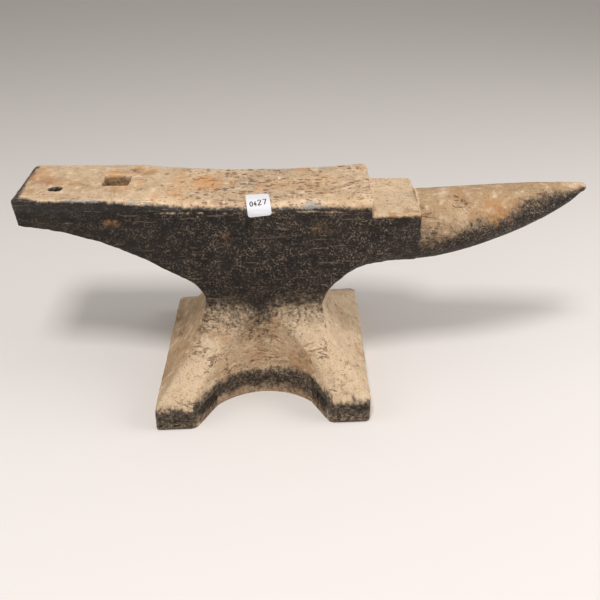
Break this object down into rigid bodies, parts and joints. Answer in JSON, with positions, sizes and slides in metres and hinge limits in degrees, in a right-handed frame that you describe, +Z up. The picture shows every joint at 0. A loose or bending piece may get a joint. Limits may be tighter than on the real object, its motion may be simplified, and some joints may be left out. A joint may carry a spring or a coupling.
{
  "type": "blacksmith anvil",
  "caption": "London-pattern blacksmith's anvil with a long tapered horn, stepped table, worn face, square and round tool holes in the heel, and a flared footed base.",
  "frame": {"origin": "middle of the base's underside, on the floor", "axes": "+X from the heel towards the horn, +Y towards the back, +Z up"},
  "size_m": [0.5528, 0.212, 0.224],
  "materials": {
    "forged_iron": "black fire scale and dirt, worn to tan dust and rust on the horn and the feet",
    "steel_face": "dusty, pitted and lightly rusted hardened steel",
    "label_paper": "matte white sticker"
  },
  "bodies": {
    "root": {"core": "forged_iron", "foot_front_left": "forged_iron", "foot_front_right": "forged_iron", "foot_back_left": "forged_iron", "foot_back_right": "forged_iron", "heel_block": "forged_iron", "table_block": "forged_iron", "horn": "forged_iron", "face_plate_heel": "steel_face", "face_plate_body": "steel_face", "lot_label": "label_paper"}
  },
  "joints": []
}
